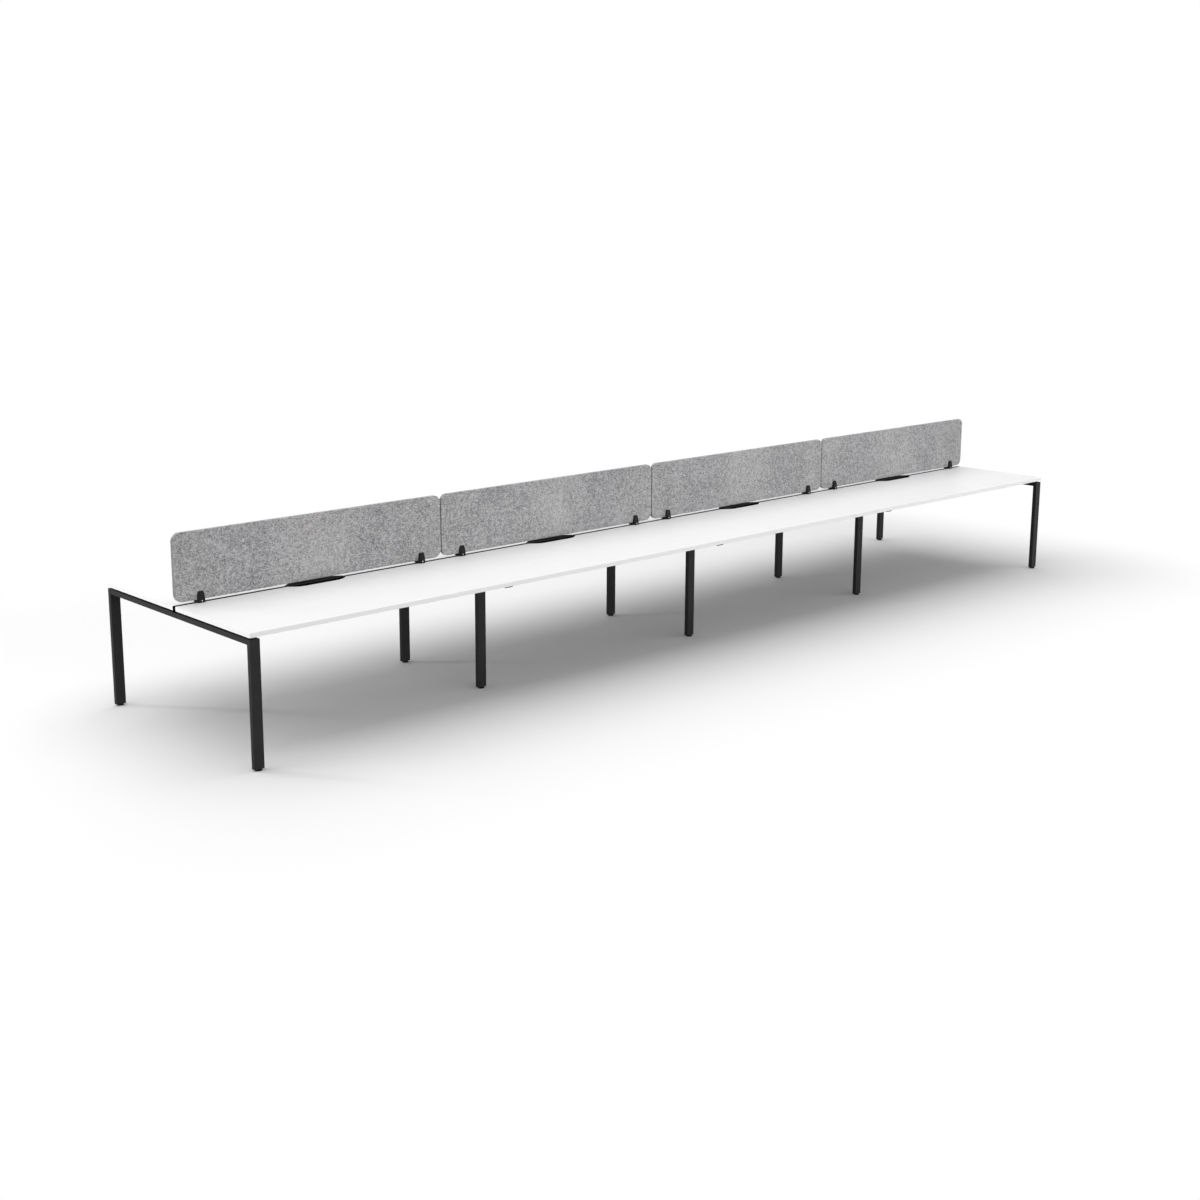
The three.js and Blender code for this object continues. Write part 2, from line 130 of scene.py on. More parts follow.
# Screw of each bracket jaw
SCREW_RADIUS = 3.6 * MM
SCREW_HEAD = 2.0 * MM
SCREW_HEIGHT = 11 * MM
SCREW_SINK = 0.6 * MM
SCREW_TILT = 0.069  # lean of the jaw's face at the screw, in radians
SOCKET_APOTHEM = 1.25 * MM
SOCKET_DEPTH = 1.2 * MM
JAW_FACE = 29.6 * MM

# Bolts that hold the rails to the beams, and screws of the tray flanges
BOLT_RADIUS = 7.5 * MM
BOLT_HEAD = 4.2 * MM
BOLT_SOCKET = 2.5 * MM
BOLT_SOCKET_DEPTH = 2.4 * MM
BOLT_SPACING = 64 * MM
BEAM_MIDDLE = 680 * MM
PLATE_THICKNESS = 4 * MM
TRAY_SCREWS = 4
TRAY_SCREW_PITCH = 400 * MM
TRAY_SCREW_OFFSET = 134 * MM
TRAY_SHEET = 2 * MM

# Caps of the middle beams' ends
CAP_LIP = 1.2 * MM
CAP_THICKNESS = 3.5 * MM
CAP_CORNER = 4 * MM
CAP_EDGE = 1 * MM

# Noises of the finishes: scale per metre, detail and roughness
BOARD_CLOUD = (9.0, 4.0, 0.5)
BOARD_GRAIN = (850.0, 3.0, 0.6)
COAT_PEEL = (620.0, 3.0, 0.55)
COAT_SPECK = (2600.0, 1.0, 0.5)
COAT_CLOUD = (14.0, 3.0, 0.5)
PLASTIC_CLOUD = (60.0, 3.0, 0.5)
ZINC_CLOUD = (400.0, 4.0, 0.6)
FELT_WARP = (30.0, 2.0, 0.5)
FELT_CLUMPS = (140.0, 4.0, 0.6)
FELT_STRANDS = (250.0, 3.0, 0.6)
FELT_FIBRES = (1500.0, 2.0, 0.6)
FELT_MOTTLE = (45.0, 3.0, 0.6)
FELT_CLOUD = (5.0, 3.0, 0.5)
NOISE_LOW = 0.3  # most of a noise lies between these two values
NOISE_HIGH = 0.7

# White boards: rounding of the edges, tones, and where the cable cut-outs, whose banding gets a painted
# shade, lie from the middle of the bench
BOARD_EDGE = 0.7 * MM
BOARD_DARK = grey(0.84, 0.004)
BOARD_LIGHT = grey(0.86, 0.002)
BOARD_GLOSS = (0.36, 0.46)
BOARD_RELIEF = (0.12, 0.15 * MM)  # strength and depth of the bump, as in every relief below
BOARD_SHINE = 0.12
BAND_TONE = grey(0.9, 0.002)
FACE_TILT = (0.6, 0.9)  # upright share of the normal, from the edge banding to the face
# painted shade: the banding inside the cable cut-outs is made near black, as if in deep shade
CUT_SHADE_TONE = grey(0.06)
CUT_START = 17 * MM
CUT_END = 64 * MM
CUT_FACING = 0.2  # least share of the normal across the bench on the banding of a cut-out

# Powder coat
COAT_RELIEF = (0.25, 0.3 * MM)
SPECK_RANGE = (0.62, 0.75)
SPECK_SHARE = 0.35
SPECK_LIFT = 1.7

# Moulded plastic
PLASTIC_CELLS = 1300.0
PLASTIC_CELL_SPAN = (0.0, 0.8)
PLASTIC_DARK = grey(0.005)
PLASTIC_LIGHT = grey(0.009)
PLASTIC_GLOSS = (0.42, 0.58)
PLASTIC_RELIEF = (0.2, 0.2 * MM)
PLASTIC_SHINE = 0.14

# Zinc plate
ZINC_DARK = grey(0.5, -0.02)
ZINC_LIGHT = grey(0.72, -0.01)
ZINC_GLOSS = (0.24, 0.4)
ZINC_RELIEF = (0.1, 0.1 * MM)

# Heather felt: how its fibres mix, its tones, and the lighter middle of each bay between cooler zones
FELT_BEND = 0.015
FELT_DRAW = (0.25, 1.0, 1.0)  # the fibres are drawn out along the panel
FELT_STRAND_SHARE = 0.45
FELT_MOTTLE_SHARE = 0.22
FELT_CLOUD_SHARE = 0.08
FELT_CONTRAST = (0.423, 0.583)
FELT_DARK = heather(0.15)
FELT_DARK_COOL = heather(0.147, -0.042)
FELT_DARK_WARM = heather(0.155, 0.038)
FELT_DARK_CLOUD = heather(0.152, -0.07)
FELT_LIGHT = heather(0.5, 0.002)
FELT_FLECK = heather(0.5)
# a darker grey for the faces that turn along the bench, at the panel ends
FELT_END_DARK = heather(0.12)
FELT_CLOUD_RANGE = (0.42, 0.58)
FELT_CLOUD_TINT = 0.5
FELT_FLECK_RANGE = (0.55, 0.7)
FELT_FLECK_SHARE = 0.4
FELT_END_TILT = (0.8, 0.95)  # share of the normal along the bench, from the face to the cut ends
FELT_END_SHARE = 0.5
FELT_MIDDLE = (0.31 * BAY_LENGTH, 0.48 * BAY_LENGTH)  # distances from the nearest joint of two bays
FELT_ASIDE = (0.06 * BAY_LENGTH, 0.2 * BAY_LENGTH)
FELT_ASIDE_DROP = 0.15
FELT_MIDDLE_LIFT = 0.17
FELT_GLOSS = (0.86, 0.98)
FELT_FIBRE_RELIEF = 0.5
FELT_RELIEF = (0.5, 0.6 * MM)
FELT_SHINE = 0.2
FELT_SHEEN = 0.2
FELT_SHEEN_SPREAD = 0.5

# Camera at the photograph's place, for an image of 1200 by 1200
IMAGE_WIDTH = 1200
SENSOR_WIDTH = 36
FOCAL_PIXELS = 1623.33
AXIS_PIXEL_X = 558.06
AXIS_PIXEL_Y = 544.24
CAMERA_PLACE = (-7.6976, -7.6570, 2.8193)
CAMERA_YAW = 0.7304
CAMERA_PITCH = 0.2045
CAMERA_RANGE = 500

# Studio
WORLD_LIGHT = 0.47
FLOOR_BOUNCE = 0.4
FLOOR_WHITE = 0.85
FLOOR_SIZE = 120
FLOOR_DROP = 0.5 * MM
FLOOR_FADE_START = 0.25  # how far from the bench the floor begins to fade into the white background
FLOOR_FADE_END = 1.5
FLOOR_FADE_BACK = 0.5  # behind the bench it fades more slowly

# Softboxes: name, place, target, width, height and watts
SOFTBOXES = (
    ("overhead", (-0.55, 0.63, 5.0), (-0.55, 0, 0), 13, 6.5, 318),
    ("back_key", (-7.7, 5.7, 4.5), (-2, 0, 0.4), 0.5, 1.8, 72),
    ("left_fill", (-9.0, 0.3, 1.6), (-3, 0, 0.6), 4, 2.4, 146),
    ("front_fill", (-1.0, -10.0, 1.2), (0, 0, 0.7), 12, 2, 327),
    ("right_fill", (6.5, -6.0, 1.4), (3, -0.3, 0.8), 3, 1.6, 92),
)

# Sockets of a mix node for each kind of data: first input, second input and output
MIX_SOCKETS = {"FLOAT": (2, 3, 0), "VECTOR": (4, 5, 1), "RGBA": (6, 7, 2)}


def set_inputs(node, inputs):
    """Link a node's inputs to the outputs of other nodes, or give them fixed values."""
    for key, value in inputs.items():
        socket = node.inputs[key]
        if isinstance(value, bpy.types.NodeSocket):
            node.id_data.links.new(value, socket)
        else:
            socket.default_value = value


def node_adder(tree):
    """A shortcut that adds a node to a tree, with its settings and inputs."""
    def add(kind, inputs=None, **settings):
        node = tree.nodes.new(kind)
        for key, value in settings.items():
            setattr(node, key, value)
        set_inputs(node, inputs or {})
        return node

    return add


def new_material(name):
    """A material with its surface shader and a shortcut that adds a node."""
    material = bpy.data.materials.new(name)
    material.use_nodes = True
    tree = material.node_tree
    return material, tree.nodes["Principled BSDF"], node_adder(tree)


def object_place(add):
    return add("ShaderNodeTexCoord").outputs["Object"]


def surface_normal(add):
    return add("ShaderNodeNewGeometry").outputs["True Normal"]


def split(add, vector):
    """The X, Y and Z of a vector."""
    return add("ShaderNodeSeparateXYZ", {"Vector": vector}).outputs


def calc(add, operation, first, second=0.0):
    return add("ShaderNodeMath", {0: first, 1: second}, operation=operation).outputs[0]


def noise(add, vector, texture, output="Fac"):
    scale, detail, roughness = texture
    node = add("ShaderNodeTexNoise", {"Vector": vector, "Scale": scale, "Detail": detail,
                                      "Roughness": roughness})
    return node.outputs[output]


def spread(add, value, span, to_low=0.0, to_high=1.0, curve="LINEAR"):
    """A value's span brought to another span."""
    node = add("ShaderNodeMapRange", {"Value": value, "From Min": span[0], "From Max": span[1],
                                      "To Min": to_low, "To Max": to_high}, interpolation_type=curve)
    return node.outputs["Result"]


def noise_to(add, value, to_low=0.0, to_high=1.0):
    """Most of a noise brought to a span."""
    return spread(add, value, (NOISE_LOW, NOISE_HIGH), to_low, to_high)


def blend(add, kind, factor, first, second):
    """A blend of two values, vectors or colours."""
    first_input, second_input, output = MIX_SOCKETS[kind]
    node = add("ShaderNodeMix", {0: factor, first_input: first, second_input: second}, data_type=kind)
    return node.outputs[output]


def blend_colors(add, factor, dark, light):
    return blend(add, "RGBA", factor, dark, light)


def blend_shaders(add, factor, first, second):
    return add("ShaderNodeMixShader", {0: factor, 1: first, 2: second}).outputs[0]


def bump(add, height, relief):
    strength, distance = relief
    node = add("ShaderNodeBump", {"Height": height, "Strength": strength, "Distance": distance})
    return node.outputs["Normal"]


def laminate():
    """White board: a faint pearl grain, smooth white banding, and the banding in the cable cut-outs
    darkened with a painted shade.
    """
    material, shader, add = new_material("white_laminate_board")
    place = object_place(add)
    cloud = noise(add, place, BOARD_CLOUD)
    grain = noise(add, place, BOARD_GRAIN)
    face = blend_colors(add, noise_to(add, cloud), BOARD_DARK, BOARD_LIGHT)
    normal = split(add, surface_normal(add))
    upright = calc(add, "ABSOLUTE", normal["Z"])
    crosswise = calc(add, "ABSOLUTE", normal["Y"])
    across = calc(add, "ABSOLUTE", split(add, place)["Y"])
    past_start = calc(add, "GREATER_THAN", across, CUT_START)
    before_end = calc(add, "LESS_THAN", across, CUT_END)
    in_cut = calc(add, "MULTIPLY", past_start, before_end)
    # painted shade on the banding of the cut-outs that faces across the bench
    shaded_cut = calc(add, "MULTIPLY", in_cut, calc(add, "GREATER_THAN", crosswise, CUT_FACING))
    band = blend_colors(add, shaded_cut, BAND_TONE, CUT_SHADE_TONE)
    set_inputs(shader, {
        "Base Color": blend_colors(add, spread(add, upright, FACE_TILT), band, face),
        "Roughness": noise_to(add, grain, *BOARD_GLOSS),
        "Normal": bump(add, grain, BOARD_RELIEF),
        "Specular IOR Level": BOARD_SHINE,
    })
    return material


def powder_coat(name, dark, light, gloss, shine):
    """Powder-coated steel: fine orange peel, a slight cloud in colour and gloss."""
    material, shader, add = new_material(name)
    place = object_place(add)
    peel = noise(add, place, COAT_PEEL)
    speck = noise(add, place, COAT_SPECK)
    cloud = noise(add, place, COAT_CLOUD)
    tone = blend_colors(add, noise_to(add, cloud), grey(dark), grey(light))
    specks = spread(add, speck, SPECK_RANGE, 0.0, SPECK_SHARE)
    set_inputs(shader, {
        "Base Color": blend_colors(add, specks, tone, grey(light * SPECK_LIFT)),
        "Roughness": noise_to(add, peel, *gloss),
        "Normal": bump(add, peel, COAT_RELIEF),
        "Specular IOR Level": shine,
    })
    return material


def moulded_plastic():
    """Black moulded plastic with a fine spark-eroded grain."""
    material, shader, add = new_material("moulded_black")
    place = object_place(add)
    cells = add("ShaderNodeTexVoronoi", {"Vector": place, "Scale": PLASTIC_CELLS}).outputs["Distance"]
    cloud = noise(add, place, PLASTIC_CLOUD)
    set_inputs(shader, {
        "Base Color": blend_colors(add, cloud, PLASTIC_DARK, PLASTIC_LIGHT),
        "Roughness": spread(add, cells, PLASTIC_CELL_SPAN, *PLASTIC_GLOSS),
        "Normal": bump(add, cells, PLASTIC_RELIEF),
        "Specular IOR Level": PLASTIC_SHINE,
    })
    return material


def zinc():
    """Zinc-plated steel of the small fasteners."""
    material, shader, add = new_material("zinc_plate")
    cloud = noise(add, object_place(add), ZINC_CLOUD)
    set_inputs(shader, {
        "Base Color": blend_colors(add, cloud, ZINC_DARK, ZINC_LIGHT),
        "Roughness": noise_to(add, cloud, *ZINC_GLOSS),
        "Normal": bump(add, cloud, ZINC_RELIEF),
        "Metallic": 1.0,
    })
    return material


def felt():
    """Pressed heather felt: light and dark fibres drawn out along the panel, a nap, and darker ends where
    the faces turn along the bench.
    """
    material, shader, add = new_material("heather_felt")
    place = object_place(add)
    warp = noise(add, place, FELT_WARP, "Color")
    bent = blend(add, "VECTOR", FELT_BEND, place, warp)
    drawn = add("ShaderNodeMapping", {"Vector": bent, "Scale": FELT_DRAW}).outputs["Vector"]
    clumps = noise(add, place, FELT_CLUMPS)
    strands = noise(add, drawn, FELT_STRANDS)
    fibres = noise(add, drawn, FELT_FIBRES)
    mottle = noise(add, bent, FELT_MOTTLE)
    cloud = noise(add, place, FELT_CLOUD)
    mixed = blend(add, "FLOAT", FELT_STRAND_SHARE, clumps, strands)
    mixed = blend(add, "FLOAT", FELT_MOTTLE_SHARE, mixed, mottle)
    mixed = blend(add, "FLOAT", FELT_CLOUD_SHARE, mixed, cloud)

    from_end = calc(add, "ADD", split(add, place)["X"], len(BAYS) / 2 * BAY_LENGTH)
    from_joint = calc(add, "PINGPONG", from_end, BAY_LENGTH / 2)
    middle = spread(add, from_joint, FELT_MIDDLE)
    aside = spread(add, from_joint, FELT_ASIDE)
    drop = calc(add, "MULTIPLY", aside, FELT_ASIDE_DROP)
    lift = calc(add, "MULTIPLY", calc(add, "SUBTRACT", middle, drop), FELT_MIDDLE_LIFT)
    shade = calc(add, "ADD", spread(add, mixed, FELT_CONTRAST), lift)

    dark = blend_colors(add, aside, FELT_DARK, FELT_DARK_COOL)
    dark = blend_colors(add, middle, dark, FELT_DARK_WARM)
    clouded = spread(add, cloud, FELT_CLOUD_RANGE, 0.0, FELT_CLOUD_TINT)
    dark = blend_colors(add, clouded, dark, FELT_DARK_CLOUD)
    body = blend_colors(add, shade, dark, FELT_LIGHT)
    flecks = spread(add, fibres, FELT_FLECK_RANGE, 0.0, FELT_FLECK_SHARE)
    face = blend_colors(add, flecks, body, FELT_FLECK)
    # faces whose normal lies along the bench, the panel ends, are blended towards a darker grey
    endwise = calc(add, "ABSOLUTE", split(add, surface_normal(add))["X"])
    is_end = spread(add, endwise, FELT_END_TILT, 0.0, FELT_END_SHARE)
    nap = blend(add, "FLOAT", FELT_FIBRE_RELIEF, strands, fibres)
    set_inputs(shader, {
        "Base Color": blend_colors(add, is_end, face, FELT_END_DARK),
        "Roughness": noise_to(add, fibres, *FELT_GLOSS),
        "Normal": bump(add, nap, FELT_RELIEF),
        "Specular IOR Level": FELT_SHINE,
        "Sheen Weight": FELT_SHEEN,
        "Sheen Roughness": FELT_SHEEN_SPREAD,
    })
    return material


LAMINATE = laminate()
GRAPHITE = powder_coat("graphite_powder_coat", dark=0.0135, light=0.018, gloss=(0.48, 0.62), shine=0.15)
BLACK = powder_coat("black_powder_coat", dark=0.003, light=0.005, gloss=(0.6, 0.75), shine=0.03)
PLASTIC = moulded_plastic()
ZINC = zinc()
FELT = felt()


def dress(node, material, edge=0.0):
    """A better finish on a node of the frame, and its sharp edges eased where an edge is given."""
    mesh = nodes[node].data
    mesh.materials.clear()
    mesh.materials.append(material)
    if edge:
        nodes[node].modifiers.new("weld", "WELD").merge_threshold = WELD_DISTANCE
        bevel = nodes[node].modifiers.new("ease", "BEVEL")
        bevel.width = edge
        bevel.segments = EASE_SEGMENTS
        bevel.limit_method = "ANGLE"
        bevel.angle_limit = EASE_ANGLE


def new_piece(name, parts, material, body):
    """A mesh piece that rides on a body: smooth, with its creases kept."""
    bmesh.ops.recalc_face_normals(parts, faces=parts.faces)
    mesh = bpy.data.meshes.new(name)
    parts.to_mesh(mesh)
    parts.free()
    mesh.materials.append(material)
    for polygon in mesh.polygons:
        polygon.use_smooth = True
    mesh.set_sharp_from_angle(angle=CREASE_ANGLE)
    piece = bpy.data.objects.new(name, mesh)
    bpy.context.scene.collection.objects.link(piece)
    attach(piece, body)
    return piece


def bridge(parts, ring, following):
    """Faces between two rings of as many points."""
    for i in range(len(ring)):
        j = (i + 1) % len(ring)
        parts.faces.new((ring[i], ring[j], following[j], following[i]))


def skin(parts, rings):
    """A closed skin through rings of points, with flat ends."""
    made = [[parts.verts.new(point) for point in ring] for ring in rings]
    for ring, following in zip(made, made[1:]):
        bridge(parts, ring, following)
    parts.faces.new(tuple(reversed(made[0])))
    parts.faces.new(tuple(made[-1]))


def rounded_outline(width, height, radius, steps):
    """Points of a rectangle with round corners, about the origin."""
    points = []
    for corner, (sx, sz) in enumerate(((1, 1), (-1, 1), (-1, -1), (1, -1))):
        for step in range(steps + 1):
            angle = (corner + step / steps) * math.pi / 2
            points.append((sx * (width / 2 - radius) + radius * math.cos(angle),
                           sz * (height / 2 - radius) + radius * math.sin(angle)))
    return points


def felt_screen(number):
    """The screen's panel, with finer corners and a round rim."""
    low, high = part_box(f"screen_{number}")
    size = high - low
    middle = (low + high) / 2
    flat = size.y / 2 - SCREEN_EDGE
    rim = []
    for step in range(FILLET_STEPS + 1):
        angle = math.pi / 2 * step / FILLET_STEPS
        rim.append((SCREEN_EDGE * (1 - math.cos(angle)), flat + SCREEN_EDGE * math.sin(angle)))
    profile = [(inset, -y) for inset, y in reversed(rim)] + rim
    rings = []
    for inset, y in profile:
        outline = rounded_outline(size.x - 2 * inset, size.z - 2 * inset, SCREEN_CORNER - inset,
                                  SCREEN_CORNER_STEPS)
        rings.append([Vector((x, y, z)) + middle for x, z in outline])
    parts = bmesh.new()
    skin(parts, rings)
    panel = new_piece(f"screen_panel_{number}", parts, FELT, "bench")
    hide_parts(f"screen_{number}")


def circle(radius, z, steps, centre=(0, 0)):
    return [Vector((centre[0] + radius * math.cos(2 * math.pi * i / steps),
                    centre[1] + radius * math.sin(2 * math.pi * i / steps), z)) for i in range(steps)]


def threaded_ring(radius, z, centre):
    """A ring of a stud at the given height, whose radius follows the helix of the thread."""
    ring = []
    for i in range(TURNED_STEPS):
        turn = (z / THREAD_PITCH - i / TURNED_STEPS) % 1
        reach = radius - THREAD_DEPTH * abs(2 * turn - 1)
        angle = 2 * math.pi * i / TURNED_STEPS
        ring.append(Vector((centre[0] + reach * math.cos(angle), centre[1] + reach * math.sin(angle), z)))
    return ring


def levelling_foot(label):
    """A turned foot: rounded disc and threaded stud."""
    low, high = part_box(f"{label}_foot")
    centre = ((low.x + high.x) / 2, (low.y + high.y) / 2)
    rim = (high.y - low.y) / 2
    root = STUD_RADIUS - THREAD_DEPTH
    profile = [(rim - inset * FOOT_EDGE, rise * FOOT_EDGE) for inset, rise in FOOT_LOWER_ROUND]
    for inset, drop in FOOT_UPPER_ROUND:
        profile.append((rim - inset * FOOT_EDGE, FOOT_HEIGHT - drop * FOOT_EDGE))
    profile += [(STUD_RADIUS + FOOT_EDGE, FOOT_HEIGHT - FOOT_SEAT), (root, FOOT_HEIGHT - FOOT_SEAT)]
    rings = [circle(radius, z, TURNED_STEPS, centre) for radius, z in profile]
    thread_step = THREAD_PITCH / THREAD_STEPS
    turned = int((high.z - FOOT_HEIGHT - FOOT_EDGE) / thread_step)
    rings += [threaded_ring(STUD_RADIUS, FOOT_HEIGHT + i * thread_step, centre) for i in range(turned)]
    rings += [circle(root, high.z - FOOT_EDGE / 2, TURNED_STEPS, centre),
              circle(STUD_RADIUS - STUD_LEAD * THREAD_DEPTH, high.z, TURNED_STEPS, centre)]
    parts = bmesh.new()
    skin(parts, rings)
    foot = new_piece(f"{label}_foot_turned", parts, PLASTIC, f"{label}_foot_body")
    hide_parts(f"{label}_foot")


def socket_head(parts, radius, height, apothem, depth, placed):
    """A domed screw head with a hexagon socket, its seat on Z = 0 and its axis on Z, then placed."""
    rim = apothem * SOCKET_RIM
    rings = [circle(radius, 0.0, HEAD_STEPS), circle(radius, HEAD_WALL * height, HEAD_STEPS)]
    for share in HEAD_DOME:
        angle = share * math.pi / 2
        reach = rim + (radius - rim) * math.cos(angle)
        rise = HEAD_WALL + (1 - HEAD_WALL) * math.sin(angle)
        rings.append(circle(reach, height * rise, HEAD_STEPS))
    hexagon = []
    for i in range(HEAD_STEPS):
        angle = 2 * math.pi * i / HEAD_STEPS
        within = (angle + math.pi / 6) % (math.pi / 3) - math.pi / 6
        reach = apothem / math.cos(within)
        hexagon.append((reach * math.cos(angle), reach * math.sin(angle)))
    rings.append([Vector((x, y, height)) for x, y in hexagon])
    rings.append([Vector((x, y, height - depth)) for x, y in hexagon])
    skin(parts, [[placed @ point for point in ring] for ring in rings])


def curve_at(height, heights, values):
    """The value at a height on a smooth curve through its two ends, drawn towards its middle point."""
    first, middle, last = heights
    bend = first - 2 * middle + last
    run = 2 * (middle - first)
    t = (math.sqrt(run * run - 4 * bend * (first - height)) - run) / (2 * bend)
    return (1 - t) ** 2 * values[0] + 2 * t * (1 - t) * values[1] + t ** 2 * values[2]


def quarter_round(height, start, radius):
    """How far a quarter round of the given radius draws in at a height above its start."""
    rise = min(max(height - start, 0.0), radius)
    return radius - math.sqrt(radius * radius - rise * rise)


def jaw_outline(z, top, side):
    """Half of the bracket's outline at a height: from the slot round one jaw and back to the slot."""
    tip_corner = top - JAW_SHOULDER
    tip_round = top - JAW_TIP
    above_rim = max(z, BRACKET_RIM)
    width = curve_at(min(above_rim, JAW_SHOULDER), (BRACKET_RIM, JAW_FULLEST, JAW_SHOULDER), JAW_WIDTHS)
    reach = curve_at(min(above_rim, JAW_TIP), (BRACKET_RIM, JAW_FULL_HEIGHT, JAW_TIP), JAW_REACHES)
    width -= quarter_round(z, JAW_SHOULDER, tip_corner)
    reach -= quarter_round(z, JAW_TIP, tip_round)
    share = min(max((z - BRACKET_RIM) / (JAW_TIP - BRACKET_RIM), 0.0), 1.0)
    corner = BRACKET_CORNER + (BRACKET_EDGE - BRACKET_CORNER) * share
    points = [(-width, SLOT_HALF)]
    for way, start in ((-1, math.pi), (1, math.pi / 2)):
        for step in range(FILLET_STEPS + 1):
            angle = start - math.pi / 2 * step / FILLET_STEPS
            points.append((way * (width - corner) + corner * math.cos(angle),
                           reach - corner + corner * math.sin(angle)))
    points.append((width, SLOT_HALF))
    return [(side * x, side * y) for x, y in points]


def bracket_place(number, end):
    """A bracket's node, its middle along the bench, the surface that it stands on, and its height."""
    node = f"screen_{number}_{end}_bracket"
    low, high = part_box(node)
    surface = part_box(f"front_worktop_{number}")[1].z
    return node, (low.x + high.x) / 2, surface, high.z - surface


def moulded_bracket(number, end):
    """A bracket with smooth tapered jaws: a saddle on both worktops, a jaw on each side of the screen."""
    node, centre, surface, top = bracket_place(number, end)
    parts = bmesh.new()

    def ring(z, sides):
        outline = [point for side in sides for point in jaw_outline(z, top, side)]
        return [parts.verts.new((centre + x, y, surface + z)) for x, y in outline]

    saddle = [ring(z, (1, -1)) for z in (BRACKET_FOOT, BRACKET_RIM, (BRACKET_RIM + SADDLE) / 2, SADDLE)]
    parts.faces.new(saddle[0])
    for below, above in zip(saddle, saddle[1:]):
        bridge(parts, below, above)
    half = len(saddle[-1]) // 2
    parts.faces.new((saddle[-1][0], saddle[-1][half - 1], saddle[-1][half], saddle[-1][-1]))
    for side, below in ((1, saddle[-1][:half]), (-1, saddle[-1][half:])):
        for level in range(1, BRACKET_LEVELS + 1):
            share = math.sin(math.pi / 2 * level / BRACKET_LEVELS)
            above = ring(SADDLE + (top - SADDLE) * share, (side,))
            bridge(parts, below, above)
            below = above
        parts.faces.new(below)
    bracket = new_piece(f"{node}_moulded", parts, PLASTIC, "bench")
    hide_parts(node)


def bracket_screws(number, end):
    """One screw in each jaw of a bracket."""
    node, centre, surface, _ = bracket_place(number, end)
    parts = bmesh.new()
    for _, side in ROWS:
        place = Matrix.Translation((centre, side * (JAW_FACE - SCREW_SINK), surface + SCREW_HEIGHT))
        turn = Matrix.Rotation(-side * (math.pi / 2 - SCREW_TILT), 4, "X")
        socket_head(parts, SCREW_RADIUS, SCREW_HEAD, SOCKET_APOTHEM, SOCKET_DEPTH, place @ turn)
    new_piece(f"{node}_screws", parts, ZINC, "bench")


def rail_bolts(row, number):
    """The bolts through the plates at both ends of a rail."""
    low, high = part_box(f"{row}_rail_{number}")
    middle = (low.y + high.y) / 2
    parts = bmesh.new()
    for x, way in ((low.x + PLATE_THICKNESS, 1), (high.x - PLATE_THICKNESS, -1)):
        for side in (-1, 1):
            place = Matrix.Translation((x, middle + side * BOLT_SPACING / 2, BEAM_MIDDLE))
            turn = Matrix.Rotation(way * math.pi / 2, 4, "Y")
            socket_head(parts, BOLT_RADIUS, BOLT_HEAD, BOLT_SOCKET, BOLT_SOCKET_DEPTH, place @ turn)
    new_piece(f"{row}_rail_{number}_bolts", parts, BLACK, "bench")


def beam_caps(label):
    """Moulded caps over both ends of a middle beam."""
    low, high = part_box(f"{label}_beam")
    middle = (low + high) / 2
    width = high.x - low.x + 2 * CAP_LIP
    height = high.z - low.z + 2 * CAP_LIP
    parts = bmesh.new()
    for end, way in ((low.y, -1), (high.y, 1)):
        rings = []
        for inset, reach in ((0.0, 0.0), (0.0, CAP_THICKNESS - CAP_EDGE), (CAP_EDGE, CAP_THICKNESS)):
            outline = rounded_outline(width - 2 * inset, height - 2 * inset, CAP_CORNER - inset,
                                      FILLET_STEPS)
            rings.append([Vector((middle.x + x, end + way * reach, middle.z + z)) for x, z in outline])
        skin(parts, rings)
    new_piece(f"{label}_beam_caps", parts, PLASTIC, "bench")


def tray_screws(number):
    """Screws up through the flanges of a tray into the worktops."""
    low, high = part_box(f"cable_tray_{number}")
    middle = (low + high) / 2
    turn = Matrix.Rotation(math.pi, 4, "X")
    parts = bmesh.new()
    for _, side in ROWS:
        for i in range(TRAY_SCREWS):
            x = middle.x + (i - (TRAY_SCREWS - 1) / 2) * TRAY_SCREW_PITCH
            place = Matrix.Translation((x, side * TRAY_SCREW_OFFSET, high.z - TRAY_SHEET))
            socket_head(parts, SCREW_RADIUS, SCREW_HEAD, SOCKET_APOTHEM, SOCKET_DEPTH, place @ turn)
    new_piece(f"cable_tray_{number}_screws", parts, ZINC, "bench")


# The bench: finishes on the frame's own pieces, finer skins, caps and fasteners
for label in FRAMES:
    for part in ("beam", "front_leg", "back_leg"):
        dress(f"{label}_{part}", GRAPHITE)
    for row, _ in ROWS:
        levelling_foot(f"{label}_{row}")
for label in MIDDLE_FRAMES:
    beam_caps(label)
for number in BAYS:
    for row, _ in ROWS:
        dress(f"{row}_worktop_{number}", LAMINATE, BOARD_EDGE)
        dress(f"{row}_rail_{number}", GRAPHITE)
        rail_bolts(row, number)
    dress(f"cable_tray_{number}", BLACK)
    tray_screws(number)
    felt_screen(number)
    for end in ENDS:
        moulded_bracket(number, end)
        bracket_screws(number, end)
for name in ("spine_1", "spine_2"):
    dress(name, BLACK)


def seen_directly(add):
    """1 for a ray from the camera, off a shiny surface or through a clear one, and 0 for any other."""
    light = add("ShaderNodeLightPath").outputs
    seen = calc(add, "MAXIMUM", light["Is Camera Ray"], light["Is Glossy Ray"])
    return calc(add, "MAXIMUM", seen, light["Is Transmission Ray"])


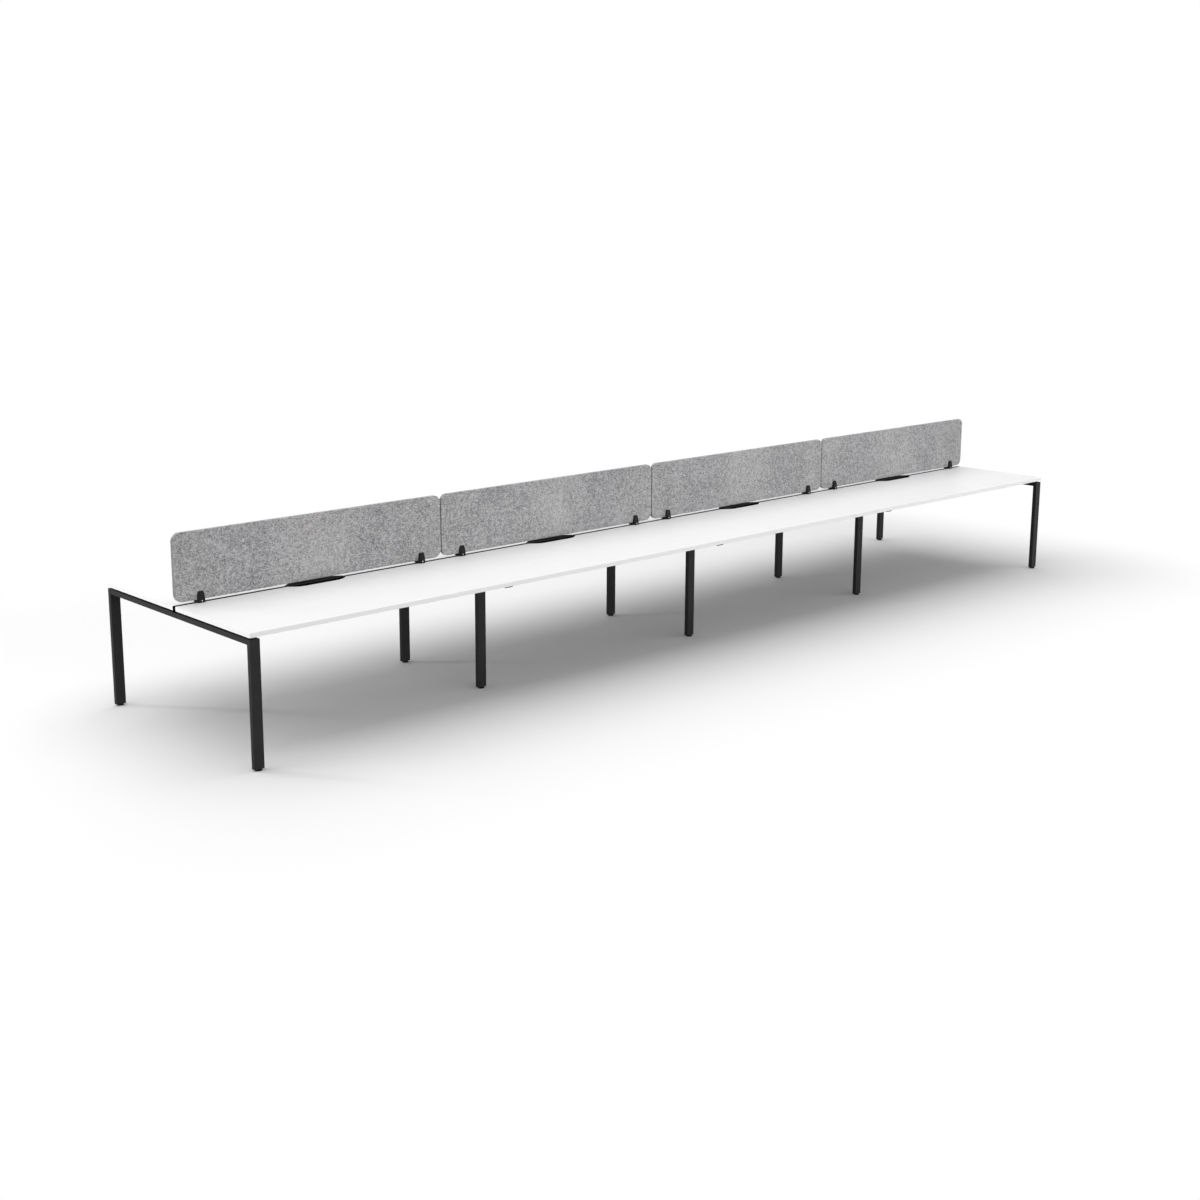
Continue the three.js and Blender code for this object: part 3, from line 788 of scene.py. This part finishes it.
def floor_material():
    """Pale near the bench, where it keeps the shadow, and fading into the white background around it.

    A camera below the floor looks through it.
    """
    material, shader, add = new_material("studio_floor")
    tree = material.node_tree
    seen = seen_directly(add)
    place = split(add, object_place(add))
    aside = calc(add, "SUBTRACT", calc(add, "ABSOLUTE", place["X"]), cad_high.x)
    front = calc(add, "SUBTRACT", cad_low.y, place["Y"])
    behind = calc(add, "MULTIPLY", calc(add, "SUBTRACT", place["Y"], cad_high.y), FLOOR_FADE_BACK)
    beyond = []
    for distance in (aside, calc(add, "MAXIMUM", front, behind)):
        beyond.append(calc(add, "POWER", calc(add, "MAXIMUM", distance), 2.0))
    away = calc(add, "POWER", calc(add, "ADD", *beyond), 0.5)
    fade = spread(add, away, (FLOOR_FADE_START, FLOOR_FADE_END), curve="SMOOTHSTEP")
    tone = blend_colors(add, seen, grey(FLOOR_BOUNCE), grey(FLOOR_WHITE))
    pale = add("ShaderNodeBsdfDiffuse", {"Color": tone}).outputs[0]
    white = add("ShaderNodeEmission", {"Strength": 1.0}).outputs[0]
    surface = blend_shaders(add, calc(add, "MULTIPLY", fade, seen), pale, white)
    backside = add("ShaderNodeNewGeometry").outputs["Backfacing"]
    from_camera = add("ShaderNodeLightPath").outputs["Is Camera Ray"]
    clear = add("ShaderNodeBsdfTransparent").outputs[0]
    surface = blend_shaders(add, calc(add, "MULTIPLY", backside, from_camera), surface, clear)
    set_inputs(tree.nodes["Material Output"], {"Surface": surface})
    tree.nodes.remove(shader)
    return material


def studio_floor():
    parts = bmesh.new()
    bmesh.ops.create_grid(parts, x_segments=1, y_segments=1, size=FLOOR_SIZE / 2)
    mesh = bpy.data.meshes.new("floor")
    parts.to_mesh(mesh)
    parts.free()
    mesh.materials.append(floor_material())
    floor = bpy.data.objects.new("floor", mesh)
    floor.location.z = -FLOOR_DROP
    bpy.context.scene.collection.objects.link(floor)


def studio_world():
    """Even white surroundings: plain light on the bench, and white where they are seen."""
    world = bpy.data.worlds.new("studio")
    bpy.context.scene.world = world
    world.use_nodes = True
    add = node_adder(world.node_tree)
    strength = spread(add, seen_directly(add), (0.0, 1.0), WORLD_LIGHT, 1.0)
    set_inputs(world.node_tree.nodes["Background"], {"Color": grey(1.0), "Strength": strength})


def softbox(name, place, target, width, height, watts):
    light = bpy.data.lights.new(name, "AREA")
    light.shape = "RECTANGLE"
    light.size = width
    light.size_y = height
    light.energy = watts
    lamp = bpy.data.objects.new(name, light)
    lamp.location = place
    lamp.rotation_euler = (Vector(target) - Vector(place)).to_track_quat("-Z", "Y").to_euler()
    bpy.context.scene.collection.objects.link(lamp)


def photo_camera():
    """The camera at the photograph's place, with the photograph's optical axis."""
    lens = bpy.data.cameras.new("camera")
    lens.sensor_width = SENSOR_WIDTH
    lens.sensor_fit = "HORIZONTAL"
    lens.lens = FOCAL_PIXELS * SENSOR_WIDTH / IMAGE_WIDTH
    lens.shift_x = (IMAGE_WIDTH / 2 - AXIS_PIXEL_X) / IMAGE_WIDTH
    lens.shift_y = (AXIS_PIXEL_Y - IMAGE_WIDTH / 2) / IMAGE_WIDTH
    lens.clip_end = CAMERA_RANGE
    camera = bpy.data.objects.new("camera", lens)
    camera.location = CAMERA_PLACE
    camera.rotation_euler = (math.pi / 2 - CAMERA_PITCH, 0, -CAMERA_YAW)
    bpy.context.scene.collection.objects.link(camera)
    bpy.context.scene.camera = camera


studio_floor()
studio_world()
for settings in SOFTBOXES:
    softbox(*settings)
photo_camera()
bpy.context.scene.view_settings.view_transform = "Standard"
